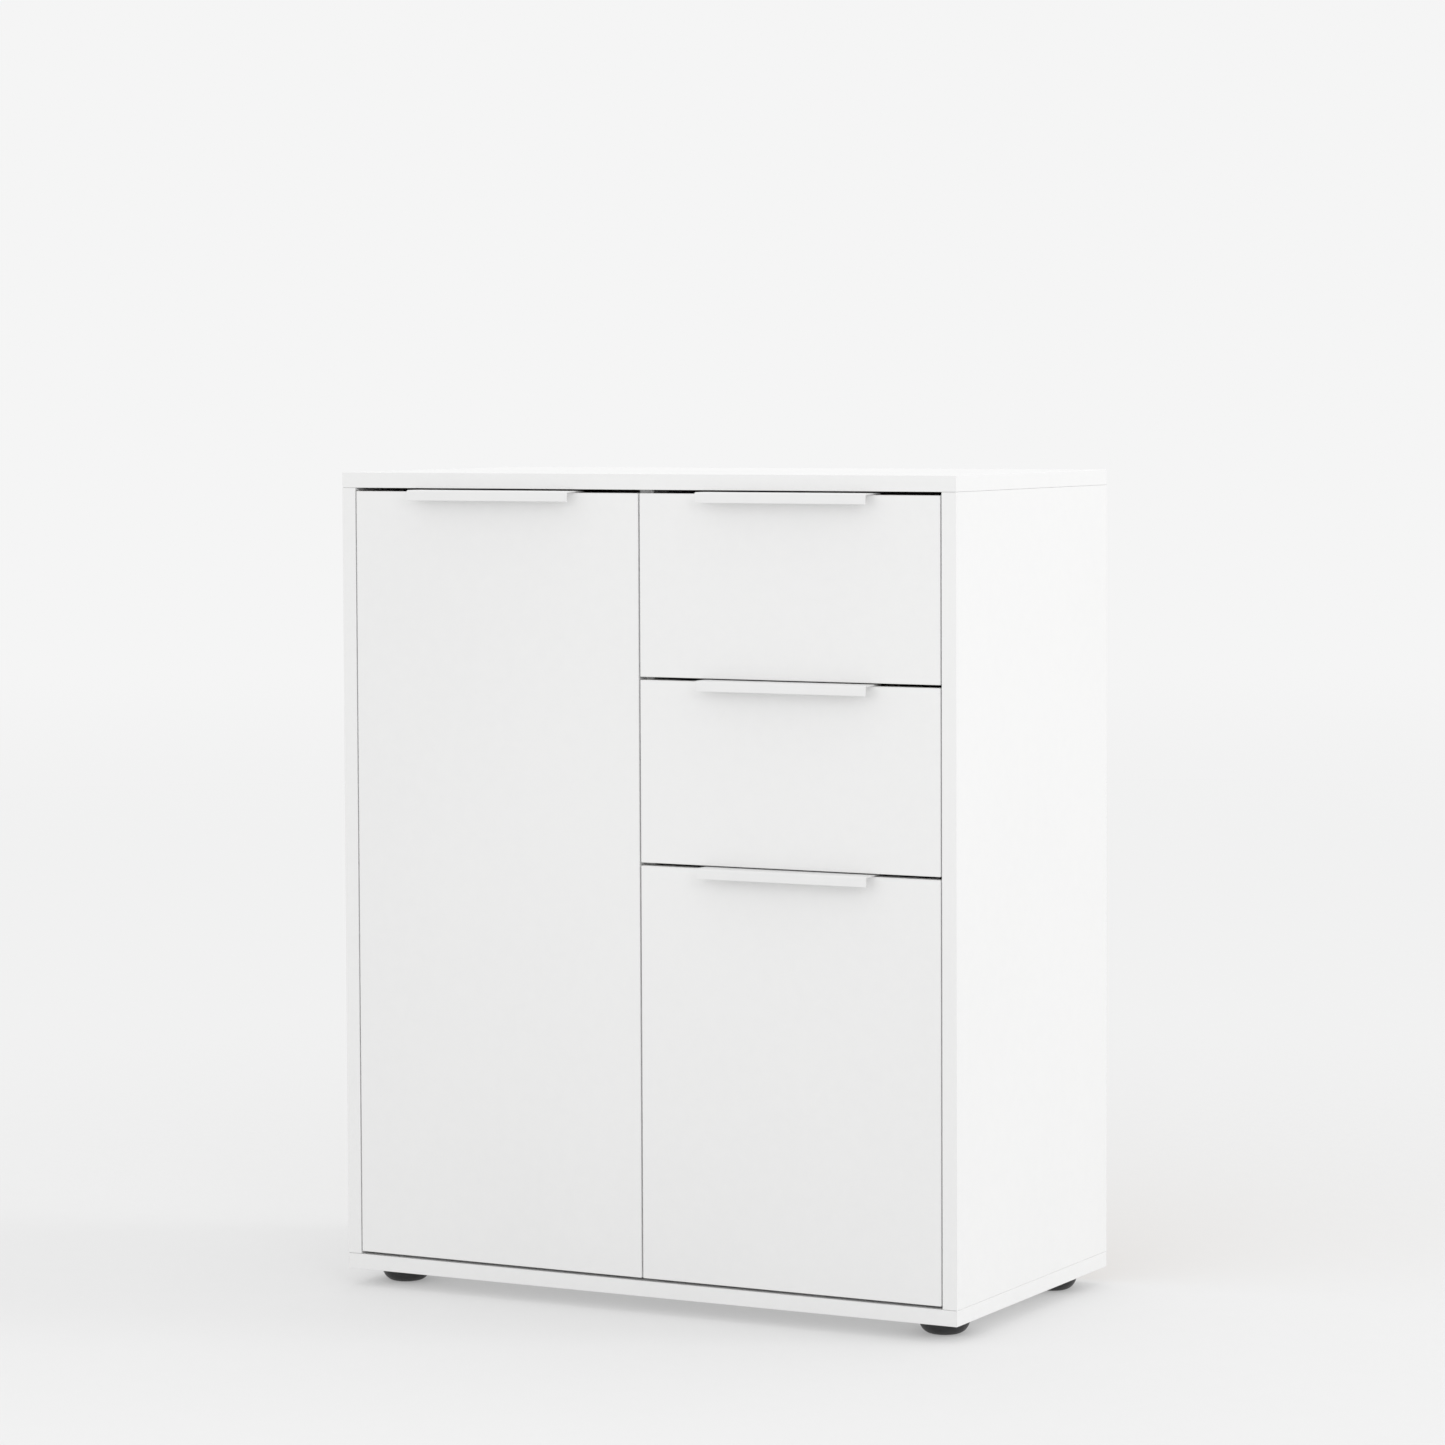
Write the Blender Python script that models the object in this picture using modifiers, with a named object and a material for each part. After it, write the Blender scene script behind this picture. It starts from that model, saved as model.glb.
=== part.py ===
"""Tall sideboard in white foil-faced board: one full-height door, two drawers above a lower door.

World frame: +Z up, the cabinet's front looks along -Y, +X is to the right of someone facing it.
The origin is on the floor, under the centre of the whole object's box.
"""
import math

import bmesh
import bpy
from mathutils import Matrix, Vector

# ---------------------------------------------------------------- driving sizes, metres
WIDTH = 0.800
DEPTH = 0.415
CARCASS_HEIGHT = 0.946
FOOT_HEIGHT = 0.020

BOARD = 0.018              # carcass panels
FRONT_BOARD = 0.018        # doors and drawer fronts
SHELF_BOARD = 0.016
BACK_BOARD = 0.003
TOUCH = 0.0003             # gap left between two pieces that touch
EDGE_ROUND = 0.0006        # eased arris of a board

# fronts, inset flush with the carcass edges
SIDE_GAP = 0.0015
MIDDLE_GAP = 0.002
TOP_GAP = 0.004
FRONT_GAP = 0.0035
BOTTOM_GAP = 0.0035
DRAWER_FRONT_HEIGHT = 0.2095
PARTITION_SETBACK = 0.001  # air between the fronts and the partition behind them

# back panel, held in a groove
BACK_INSET = 0.012
GROOVE_DEPTH = 0.006
GROOVE_PLAY = 0.0003       # on each side of a panel in its groove

# shelves
SHELF_SETBACK = 0.014      # from the back of the fronts to a shelf's front edge
SHELF_SIDE_PLAY = 0.001
FIXED_SHELF_DROP = 0.010   # from the lower door's top edge down to the fixed shelf's top

# edge pulls: a folded strip over the top edge of each front
PULL_LENGTH = 0.215
PULL_REACH = 0.0205
PULL_STRIP = 0.0018
PULL_LIP = 0.012
PULL_TAIL = 0.014          # the flange screwed to the back of the front

# glides
FOOT_TOP_RADIUS = 0.030
FOOT_BASE_RADIUS = 0.0145
FOOT_SIDE_INSET = 0.044
FOOT_END_INSET = 0.060
FOOT_RIM = 0.0015          # straight band above the bowl

# drawer boxes
BOX_SIDE = 0.012
BOX_HEIGHT = 0.155
BOX_LENGTH = 0.350
BOX_LIFT = 0.015           # from the front's lower edge to the box's lower edge
BOX_BASE = 0.003
BOX_BASE_LIFT = 0.010
BOX_GROOVE = 0.005

# ball-bearing slides, measured outward from the cabinet wall
SLIDE_SPACE = 0.0127
SLIDE_LENGTH = 0.350
SLIDE_SHEET = 0.0012
OUTER_HALF_HEIGHT = 0.0175
OUTER_REACH = 0.0098
INNER_HALF_HEIGHT = 0.012
INNER_START = 0.0042
CAGE_SHEET = 0.0008
CAGE_START = 0.0024
CAGE_REACH = 0.0088
DRAWER_TRAVEL = 0.250

# concealed hinges, in the door's own plan: "in" is measured from the door's hinge edge, "face"
# from its front face, "behind" and "below" from its back face
HINGE_END_DISTANCE = 0.100
DOOR_SWING = math.radians(100)
HINGE_AXIS_FACE = 0.0054   # shallow enough for the door's corner to clear the side panel
CUP_RADIUS = 0.0175
CUP_TAB = 0.005            # wood left between the cup's bore and the door's edge
CUP_DEPTH = 0.0122
CUP_WALL = 0.0015
CUP_FLOOR = 0.001
CUP_FLANGE = 0.0012
CUP_RIM = 0.0025           # how far the flange stands out past the cup
CUP_EAR_OFFSET = 0.0075
CUP_EAR_WIDTH = 0.013
CUP_EAR_LENGTH = 0.062
CUP_PIN_BELOW = 0.008
PIN_RADIUS = 0.001
PIN_PLAY = 0.0003
ARM_PIN_BEHIND = 0.0067
ARM_PIN_OFFSET = 0.015     # from the cup's centre, away from the door's edge
ARM_WIDTH = 0.014
ARM_SLOT = 0.010
ARM_STAND_OFF = 0.0065
ARM_SHEET = 0.007
ARM_NOSE = 0.0045
ARM_REAR = 0.068
ARM_CRANK = 0.030          # where the arm leaves its plate, behind the door
ARM_UNDER_RISE = 0.0075
ARM_SLOT_RISE = 0.0045
LINK_SHEET = 0.002
LINK_BULGE = 0.0065
LINK_WIDTH = 0.009
LINK_EYE = 0.0028
LINK_END_CLEARANCE = 0.0036  # the open pivot: the link stops short of the cup's pin
PLATE_WIDTH = 0.016
PLATE_START = 0.018
PLATE_END = 0.070
PLATE_SCREWS_BEHIND = 0.037
PLATE_WING_WIDTH = 0.012
PLATE_WING_LENGTH = 0.052
PLATE_WING = 0.0025

# ---------------------------------------------------------------- places worked out from the sizes
FRONT = (PULL_REACH - DEPTH) / 2            # y of the cabinet's front plane
REAR = FRONT + DEPTH
FLOOR_PANEL_TOP = FOOT_HEIGHT + BOARD
CEILING = FOOT_HEIGHT + CARCASS_HEIGHT - BOARD
INNER_HALF = WIDTH / 2 - BOARD              # x of a side panel's inner face
FRONTS_BACK = FRONT + FRONT_BOARD
FRONT_WIDTH = INNER_HALF - SIDE_GAP - MIDDLE_GAP / 2
FRONT_TOP = CEILING - TOP_GAP
FRONT_BOTTOM = FLOOR_PANEL_TOP + BOTTOM_GAP
PARTITION_FRONT = FRONTS_BACK + PARTITION_SETBACK
BACK_PANEL_REAR = REAR - BACK_INSET
BACK_PANEL_FRONT = BACK_PANEL_REAR - BACK_BOARD
DRAWER_1_BOTTOM = FRONT_TOP - DRAWER_FRONT_HEIGHT
DRAWER_2_TOP = DRAWER_1_BOTTOM - FRONT_GAP
DRAWER_2_BOTTOM = DRAWER_2_TOP - DRAWER_FRONT_HEIGHT
LOWER_DOOR_TOP = DRAWER_2_BOTTOM - FRONT_GAP
FIXED_SHELF_TOP = LOWER_DOOR_TOP - FIXED_SHELF_DROP
SHELF_FRONT = FRONTS_BACK + SHELF_SETBACK
BOX_LEFT = BOARD / 2 + SLIDE_SPACE
BOX_RIGHT = INNER_HALF - SLIDE_SPACE
BOX_FRONT = FRONTS_BACK + TOUCH
SLIDE_FRONT = PARTITION_FRONT + PARTITION_SETBACK
DOOR_EDGE = INNER_HALF - SIDE_GAP           # distance of a door's hinge edge from the centre plane
CUP_CENTRE = CUP_TAB + CUP_RADIUS
CUP_PIN_FACE = FRONT_BOARD - CUP_PIN_BELOW
ARM_PIN_FACE = FRONT_BOARD + ARM_PIN_BEHIND
ARM_PIN_IN = CUP_CENTRE + ARM_PIN_OFFSET
# The cup's pin stands straight behind the door's axis. The line from the axis to the arm's pin
# halves the turn of the cup's pin, so the two pins are as far apart open as shut.
HALF_TURN = (math.pi - DOOR_SWING) / 2
HINGE_AXIS_IN = ARM_PIN_IN - (ARM_PIN_FACE - HINGE_AXIS_FACE) / math.tan(HALF_TURN)

ROUND_STEPS = 40
BOWL_STEPS = 7
PIN_STEPS = 16


# ---------------------------------------------------------------- scene, collections, finishes
def clear_scene():
    for item in list(bpy.data.objects):
        bpy.data.objects.remove(item, do_unlink=True)


def new_collection(name):
    collection = bpy.data.collections.new(name)
    bpy.context.scene.collection.children.link(collection)
    return collection


def finish(name, colour, roughness, metallic=0.0):
    material = bpy.data.materials.new(name)
    material.use_nodes = True
    shader = material.node_tree.nodes["Principled BSDF"]
    shader.inputs["Base Color"].default_value = (*colour, 1.0)
    shader.inputs["Roughness"].default_value = roughness
    shader.inputs["Metallic"].default_value = metallic
    return material


clear_scene()
PARTS = new_collection("sideboard")
CUTTERS = new_collection("sideboard_cutters")
WHITE_FOIL = finish("white_foil", (0.82, 0.82, 0.82), 0.45)
WHITE_METAL = finish("white_metal", (0.84, 0.84, 0.83), 0.35)
HARDBOARD = finish("white_hardboard", (0.74, 0.74, 0.73), 0.6)
BLACK_PLASTIC = finish("black_plastic", (0.02, 0.02, 0.02), 0.5)
ZINC = finish("zinc_steel", (0.55, 0.56, 0.58), 0.35, 1.0)
NICKEL = finish("nickel_steel", (0.62, 0.61, 0.58), 0.28, 1.0)


# ---------------------------------------------------------------- makers
def place(item, origin, parent=None):
    """Put an object's origin at a world point, under an unturned empty if one is given."""
    item.parent = parent
    item.location = Vector(origin) - (parent.location if parent else Vector())
    return item


def joint_empty(name, origin):
    empty = bpy.data.objects.new(name, None)
    empty.empty_display_size = 0.03
    empty.location = origin
    PARTS.objects.link(empty)
    return empty


def mesh_object(name, mesh, material, collection=PARTS):
    item = bpy.data.objects.new(name, mesh)
    collection.objects.link(item)
    mesh.materials.append(material)
    return item


def box_mesh(name, low, high, origin):
    """A box between two world corners, held in coordinates that start at origin."""
    low, high, origin = Vector(low), Vector(high), Vector(origin)
    centre = (low + high) / 2 - origin
    size = high - low
    shape = Matrix.Translation(centre) @ Matrix.Diagonal((*size, 1.0))
    mesh = bpy.data.meshes.new(name)
    body = bmesh.new()
    bmesh.ops.create_cube(body, size=1.0, matrix=shape)
    body.to_mesh(mesh)
    body.free()
    return mesh


def box(name, low, high, material, parent=None, rounding=0.0, origin=None):
    if origin is None:
        origin = parent.location if parent else (Vector(low) + Vector(high)) / 2
    item = mesh_object(name, box_mesh(name, low, high, origin), material)
    place(item, origin, parent)
    if rounding > 0.0:
        ease(item, rounding)
    return item


def ease(item, width, segments=1):
    bevel = item.modifiers.new("eased_edges", "BEVEL")
    bevel.width = width
    bevel.segments = segments
    bevel.limit_method = "ANGLE"
    bevel.angle_limit = math.radians(40)


def combine(item, tool, operation):
    """Cut or join one object with another, which becomes a hidden tool."""
    for collection in list(tool.users_collection):
        collection.objects.unlink(tool)
    CUTTERS.objects.link(tool)
    tool.hide_render = True
    tool.display_type = "WIRE"
    boolean = item.modifiers.new(operation.lower(), "BOOLEAN")
    boolean.operation = operation
    boolean.object = tool
    boolean.solver = "EXACT"


def cutter_box(name, low, high, parent=None):
    return box(name, low, high, ZINC, parent)


def rod(name, radius, length, centre, axis, parent=None, steps=ROUND_STEPS, material=ZINC):
    """A cylinder along a world axis, "Y" or "Z"."""
    turn = Matrix.Rotation(math.pi / 2, 4, "X") if axis == "Y" else Matrix.Identity(4)
    origin = parent.location if parent else Vector(centre)
    shape = Matrix.Translation(Vector(centre) - origin) @ turn
    mesh = bpy.data.meshes.new(name)
    body = bmesh.new()
    bmesh.ops.create_cone(body, cap_ends=True, segments=steps, radius1=radius, radius2=radius,
                          depth=length, matrix=shape)
    body.to_mesh(mesh)
    body.free()
    return place(mesh_object(name, mesh, material), origin, parent)


def turned(name, profile, centre, material):
    """A turned solid: (radius, height) points from the top of the axis, down the outside, to its foot."""
    mesh = bpy.data.meshes.new(name)
    points = [(radius, 0.0, height) for radius, height in profile]
    edges = [(index, index + 1) for index in range(len(points) - 1)]
    mesh.from_pydata(points, edges, [])
    item = place(mesh_object(name, mesh, material), centre)
    screw = item.modifiers.new("turned", "SCREW")
    screw.axis = "Z"
    screw.steps = ROUND_STEPS
    screw.render_steps = ROUND_STEPS
    screw.use_merge_vertices = True
    screw.merge_threshold = 0.00001
    screw.use_smooth_shade = True
    return item


def outline_solid(name, points, start, length, axis, material, parent=None):
    """A flat outline given thickness: (x, y) points run up Z, or (y, z) points run along X,
    or (x, z) points run along Y. start is the near end's coordinate on that axis."""
    curve = bpy.data.curves.new(name + "_outline", "CURVE")
    curve.dimensions = "2D"
    curve.fill_mode = "BOTH"
    curve.extrude = length / 2
    spline = curve.splines.new("POLY")
    spline.points.add(len(points) - 1)
    for point, (first, second) in zip(spline.points, points):
        point.co = (first, second, 0.0, 1.0)
    spline.use_cyclic_u = True
    middle = start + length / 2
    # columns: where the outline's first and second directions and its thickness point in the world
    frames = {
        "Z": Matrix(((1, 0, 0, 0), (0, 1, 0, 0), (0, 0, 1, middle), (0, 0, 0, 1))),
        "X": Matrix(((0, 0, 1, middle), (1, 0, 0, 0), (0, 1, 0, 0), (0, 0, 0, 1))),
        "Y": Matrix(((1, 0, 0, 0), (0, 0, -1, middle), (0, 1, 0, 0), (0, 0, 0, 1))),
    }
    guide = bpy.data.objects.new(name + "_guide", curve)
    guide.matrix_world = frames[axis]
    PARTS.objects.link(guide)
    bpy.context.view_layer.update()
    evaluated = guide.evaluated_get(bpy.context.evaluated_depsgraph_get())
    mesh = bpy.data.meshes.new_from_object(evaluated)
    mesh.name = name
    origin = parent.location if parent else Vector()
    mesh.transform(Matrix.Translation(-Vector(origin)) @ guide.matrix_world)
    bpy.data.objects.remove(guide, do_unlink=True)
    body = bmesh.new()
    body.from_mesh(mesh)
    bmesh.ops.remove_doubles(body, verts=body.verts, dist=0.000001)
    bmesh.ops.recalc_face_normals(body, faces=body.faces)
    body.to_mesh(mesh)
    body.free()
    mesh.materials.clear()
    return place(mesh_object(name, mesh, material), origin, parent)


def arc_points(centre, radius, start, end, count):
    """Points on an arc, its angles in degrees."""
    angles = [math.radians(start + (end - start) * step / (count - 1)) for step in range(count)]
    return [(centre[0] + radius * math.cos(a), centre[1] + radius * math.sin(a)) for a in angles]


# ---------------------------------------------------------------- carcass
def make_carcass():
    half = WIDTH / 2
    top = FOOT_HEIGHT + CARCASS_HEIGHT
    box("top_panel", (-half, FRONT, CEILING), (half, REAR, top), WHITE_FOIL, rounding=EDGE_ROUND)
    box("bottom_panel", (-half, FRONT, FOOT_HEIGHT), (half, REAR, FLOOR_PANEL_TOP), WHITE_FOIL,
        rounding=EDGE_ROUND)
    low = FLOOR_PANEL_TOP + TOUCH
    high = CEILING - TOUCH
    box("left_side_panel", (-half, FRONT, low), (-INNER_HALF, REAR, high), WHITE_FOIL,
        rounding=EDGE_ROUND)
    box("right_side_panel", (INNER_HALF, FRONT, low), (half, REAR, high), WHITE_FOIL,
        rounding=EDGE_ROUND)
    box("centre_partition", (-BOARD / 2, PARTITION_FRONT, low),
        (BOARD / 2, BACK_PANEL_FRONT - TOUCH, high), WHITE_FOIL, rounding=EDGE_ROUND)
    reach = GROOVE_DEPTH - GROOVE_PLAY
    box("back_panel", (-INNER_HALF - reach, BACK_PANEL_FRONT, FLOOR_PANEL_TOP - reach),
        (INNER_HALF + reach, BACK_PANEL_REAR, CEILING + reach), HARDBOARD)
    cut_back_grooves()


def cut_back_grooves():
    near = BACK_PANEL_FRONT - GROOVE_PLAY
    far = BACK_PANEL_REAR + GROOVE_PLAY
    side = INNER_HALF + GROOVE_DEPTH
    inside = INNER_HALF - GROOVE_DEPTH
    low = FLOOR_PANEL_TOP - GROOVE_DEPTH
    high = CEILING + GROOVE_DEPTH
    grooves = {
        "left_side_panel": ((-side, near, low), (-inside, far, high)),
        "right_side_panel": ((inside, near, low), (side, far, high)),
        "bottom_panel": ((-side, near, low), (side, far, FLOOR_PANEL_TOP + GROOVE_DEPTH)),
        "top_panel": ((-side, near, CEILING - GROOVE_DEPTH), (side, far, high)),
    }
    for panel, (corner, opposite) in grooves.items():
        groove = cutter_box(panel + "_groove", corner, opposite)
        combine(bpy.data.objects[panel], groove, "DIFFERENCE")


def make_shelves():
    rear = BACK_PANEL_FRONT - SHELF_SIDE_PLAY
    box("fixed_shelf", (BOARD / 2 + TOUCH, SHELF_FRONT, FIXED_SHELF_TOP - BOARD),
        (INNER_HALF - TOUCH, BACK_PANEL_FRONT - TOUCH, FIXED_SHELF_TOP), WHITE_FOIL,
        rounding=EDGE_ROUND)
    left_bay = (-INNER_HALF + SHELF_SIDE_PLAY, -BOARD / 2 - SHELF_SIDE_PLAY)
    right_bay = (BOARD / 2 + SHELF_SIDE_PLAY, INNER_HALF - SHELF_SIDE_PLAY)
    tall = CEILING - FLOOR_PANEL_TOP
    short = FIXED_SHELF_TOP - BOARD - FLOOR_PANEL_TOP
    shelves = {
        "left_lower_shelf": (left_bay, tall / 3),
        "left_upper_shelf": (left_bay, tall * 2 / 3),
        "right_shelf": (right_bay, short / 2),
    }
    for name, ((start, end), rise) in shelves.items():
        base = FLOOR_PANEL_TOP + rise - SHELF_BOARD / 2
        box(name, (start, SHELF_FRONT, base), (end, rear, base + SHELF_BOARD), WHITE_FOIL,
            rounding=EDGE_ROUND)


def make_feet():
    """Four bowl-shaped plastic glides: a short rim, then a quarter ellipse down to a flat base."""
    top = FOOT_HEIGHT - TOUCH
    bowl_height = top - FOOT_RIM
    bowl_width = FOOT_TOP_RADIUS - FOOT_BASE_RADIUS
    turns = [math.pi / 2 * step / BOWL_STEPS for step in range(BOWL_STEPS + 1)]
    bowl = [(FOOT_BASE_RADIUS + bowl_width * math.cos(turn), bowl_height * (1 - math.sin(turn)))
            for turn in turns]
    side = WIDTH / 2 - FOOT_SIDE_INSET
    corners = {
        "front_left_foot": (-side, FRONT + FOOT_END_INSET),
        "front_right_foot": (side, FRONT + FOOT_END_INSET),
        "rear_left_foot": (-side, REAR - FOOT_END_INSET),
        "rear_right_foot": (side, REAR - FOOT_END_INSET),
    }
    profile = [(0.0, top), (FOOT_TOP_RADIUS, top)] + bowl + [(0.0, 0.0)]
    for name, (x, y) in corners.items():
        turned(name, profile, (x, y, 0.0), BLACK_PLASTIC)


# ---------------------------------------------------------------- fronts and their pulls
def make_pull(name, centre_x, edge_height, parent):
    """A strip folded down over a front's top edge: lip in front, tail behind."""
    under = edge_height + TOUCH
    over = under + PULL_STRIP
    nose = FRONT - PULL_REACH
    tail = FRONTS_BACK + TOUCH
    lip_foot = over - PULL_LIP
    tail_foot = over - PULL_TAIL
    section = [
        (nose, lip_foot), (nose, over), (tail + PULL_STRIP, over), (tail + PULL_STRIP, tail_foot),
        (tail, tail_foot), (tail, under), (nose + PULL_STRIP, under), (nose + PULL_STRIP, lip_foot),
    ]
    start = centre_x - PULL_LENGTH / 2
    pull = outline_solid(name, section, start, PULL_LENGTH, "X", WHITE_METAL, parent)
    ease(pull, PULL_STRIP / 4)


def make_front(name, left, bottom, top, parent):
    return box(name, (left, FRONT, bottom), (left + FRONT_WIDTH, FRONTS_BACK, top), WHITE_FOIL,
               parent, EDGE_ROUND)


# ---------------------------------------------------------------- doors and concealed hinges
def link_outline():
    """A bowed strip from the arm's pin down into the cup, with a round eye on the pin."""
    pin = Vector((ARM_PIN_IN, ARM_PIN_FACE))
    cup = Vector((HINGE_AXIS_IN, CUP_PIN_FACE))
    chord = (pin - cup).length
    along = (pin - cup) / chord
    across = Vector((along.y, -along.x))
    radius = (chord * chord / 4 + LINK_BULGE * LINK_BULGE) / (2 * LINK_BULGE)
    half_angle = math.asin(chord / (2 * radius))
    centre = cup + along * chord / 2 - across * (radius - LINK_BULGE)
    first = -half_angle + LINK_END_CLEARANCE / radius
    last = half_angle - LINK_EYE / radius
    steps = 9
    angles = [first + (last - first) * step / (steps - 1) for step in range(steps)]

    def bowed(offset, angle):
        swing = across * math.cos(angle) + along * math.sin(angle)
        return tuple(centre + swing * (radius + offset))

    outside = [bowed(LINK_SHEET / 2, angle) for angle in angles]
    inside = [bowed(-LINK_SHEET / 2, angle) for angle in reversed(angles)]
    entry = Vector(outside[-1]) - pin
    leave = Vector(inside[0]) - pin
    begin = math.degrees(math.atan2(entry.y, entry.x))
    end = math.degrees(math.atan2(leave.y, leave.x))
    while end < begin:
        end += 360.0
    eye = arc_points(pin, LINK_EYE, begin, end, 14)
    return outside + eye + inside


def arm_outline():
    """The cranked arm, from its rear end on the plate to its nose around the pin."""
    pin = (ARM_PIN_IN, ARM_PIN_FACE)
    low = ARM_STAND_OFF
    high = ARM_STAND_OFF + ARM_SHEET
    rear = FRONT_BOARD + ARM_REAR
    nose = arc_points(pin, ARM_NOSE, 30, -140, 9)
    under = [(pin[0] - 2 * ARM_NOSE, pin[1] + ARM_UNDER_RISE / 2), (low, pin[1] + ARM_UNDER_RISE)]
    return [(low, rear), (high, rear), (high, FRONT_BOARD + ARM_CRANK)] + nose + under


def make_hinge(prefix, hand, height, door, door_axis, link_axis):
    """One hinge. hand is -1 on a left-hung door and 1 on a right-hung one."""
    edge = hand * DOOR_EDGE

    def world(inward, back, rise=0.0):
        return (edge - hand * inward, FRONT + back, height + rise)

    def plan(points):
        return [world(inward, back)[:2] for inward, back in points]

    def block(name, low, high, material, parent=None):
        first, second = Vector(world(*low)), Vector(world(*high))
        corner = [min(a, b) for a, b in zip(first, second)]
        opposite = [max(a, b) for a, b in zip(first, second)]
        return box(name, corner, opposite, material, parent)

    # mounting plate: a rail with two wings, screwed to the side panel
    wall = -SIDE_GAP + TOUCH
    plate = block(prefix + "_hinge_plate", (wall, FRONT_BOARD + PLATE_START, -PLATE_WIDTH / 2),
                  (ARM_STAND_OFF - TOUCH, FRONT_BOARD + PLATE_END, PLATE_WIDTH / 2), NICKEL)
    screws = FRONT_BOARD + PLATE_SCREWS_BEHIND
    wing = block(prefix + "_plate_wing",
                 (wall, screws - PLATE_WING_WIDTH / 2, -PLATE_WING_LENGTH / 2),
                 (wall + PLATE_WING, screws + PLATE_WING_WIDTH / 2, PLATE_WING_LENGTH / 2), NICKEL)
    combine(plate, wing, "UNION")

    # arm: a cranked channel whose cheeks hold the link's pin
    pin = (ARM_PIN_IN, ARM_PIN_FACE)
    arm = outline_solid(prefix + "_hinge_arm", plan(arm_outline()), height - ARM_WIDTH / 2,
                        ARM_WIDTH, "Z", NICKEL)
    slot = block(prefix + "_arm_slot",
                 (pin[0] - 4 * ARM_NOSE, pin[1] - 2 * ARM_NOSE, -ARM_SLOT / 2),
                 (pin[0] + 2 * ARM_NOSE, pin[1] + ARM_SLOT_RISE, ARM_SLOT / 2), NICKEL)
    combine(arm, slot, "DIFFERENCE")
    arm_pin = rod(prefix + "_arm_pin", PIN_RADIUS, (ARM_WIDTH + ARM_SLOT) / 2, world(*pin), "Z",
                  steps=PIN_STEPS)
    combine(arm, arm_pin, "UNION")

    # link: turns on the arm's pin and reaches into the cup
    link = outline_solid(prefix + "_hinge_link", plan(link_outline()), height - LINK_WIDTH / 2,
                         LINK_WIDTH, "Z", NICKEL, link_axis)
    eye_hole = rod(prefix + "_link_hole", PIN_RADIUS + PIN_PLAY, 2 * LINK_WIDTH, world(*pin), "Z",
                   link_axis, steps=PIN_STEPS)
    combine(link, eye_hole, "DIFFERENCE")

    # cup: a shell let into the door's back, with a rim and screw ears
    rim_front = FRONT_BOARD + TOUCH
    rim_back = rim_front + CUP_FLANGE
    cup = rod(prefix + "_hinge_cup", CUP_RADIUS, CUP_DEPTH + CUP_FLANGE,
              world(CUP_CENTRE, rim_back - (CUP_DEPTH + CUP_FLANGE) / 2), "Y", door_axis,
              material=NICKEL)
    rim = rod(prefix + "_cup_rim", CUP_RADIUS + CUP_RIM, CUP_FLANGE,
              world(CUP_CENTRE, rim_front + CUP_FLANGE / 2), "Y", door_axis)
    ear = CUP_CENTRE + CUP_EAR_OFFSET
    ears = block(prefix + "_cup_ears", (ear - CUP_EAR_WIDTH / 2, rim_front, -CUP_EAR_LENGTH / 2),
                 (ear + CUP_EAR_WIDTH / 2, rim_back, CUP_EAR_LENGTH / 2), NICKEL, door_axis)
    floor = rim_front - CUP_DEPTH + CUP_FLOOR
    mouth = rim_back + CUP_FLANGE
    hollow_radius = CUP_RADIUS - CUP_WALL
    hollow = rod(prefix + "_cup_hollow", hollow_radius, mouth - floor,
                 world(CUP_CENTRE, (mouth + floor) / 2), "Y", door_axis)
    off_centre = CUP_CENTRE - HINGE_AXIS_IN
    pin_length = 2 * math.sqrt(hollow_radius ** 2 - off_centre ** 2) + CUP_WALL
    cup_pin = rod(prefix + "_cup_pin", PIN_RADIUS, pin_length, world(HINGE_AXIS_IN, CUP_PIN_FACE),
                  "Z", door_axis, steps=PIN_STEPS)
    combine(cup, rim, "UNION")
    combine(cup, ears, "UNION")
    combine(cup, hollow, "DIFFERENCE")
    combine(cup, cup_pin, "UNION")
    bore_floor = FRONT_BOARD - CUP_DEPTH
    bore = rod(prefix + "_cup_bore", CUP_RADIUS + TOUCH, 2 * CUP_DEPTH,
               world(CUP_CENTRE, bore_floor + CUP_DEPTH), "Y", door_axis)
    combine(door, bore, "DIFFERENCE")


def make_door(name, hand, bottom, top):
    """A door hung on the side panel: its axis, its board, its pull and its two hinges."""
    edge = hand * DOOR_EDGE
    middle = (bottom + top) / 2
    pin = (ARM_PIN_IN, ARM_PIN_FACE)
    door_axis = joint_empty(name + "_axis",
                            (edge - hand * HINGE_AXIS_IN, FRONT + HINGE_AXIS_FACE, middle))
    link_axis = joint_empty(name + "_link_axis", (edge - hand * pin[0], FRONT + pin[1], middle))
    left = min(edge, edge - hand * FRONT_WIDTH)
    door = make_front(name, left, bottom, top, door_axis)
    make_pull(name + "_pull", left + FRONT_WIDTH / 2, top, door_axis)
    hinges = {"lower": bottom + HINGE_END_DISTANCE, "upper": top - HINGE_END_DISTANCE}
    for level, height in hinges.items():
        make_hinge(f"{name}_{level}", hand, height, door, door_axis, link_axis)


# ---------------------------------------------------------------- drawers and their slides
def channel_section(wall, direction, near, far, half_height, sheet, open_outward):
    """A C section: (x, z) points. near and far are distances from the cabinet wall."""
    web, lips = (near, far) if open_outward else (far, near)
    step = sheet if open_outward else -sheet
    points = [
        (lips, -half_height), (web, -half_height), (web, half_height), (lips, half_height),
        (lips, half_height - sheet), (web + step, half_height - sheet),
        (web + step, sheet - half_height), (lips, sheet - half_height),
    ]
    return [(wall + direction * distance, height) for distance, height in points]


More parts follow.
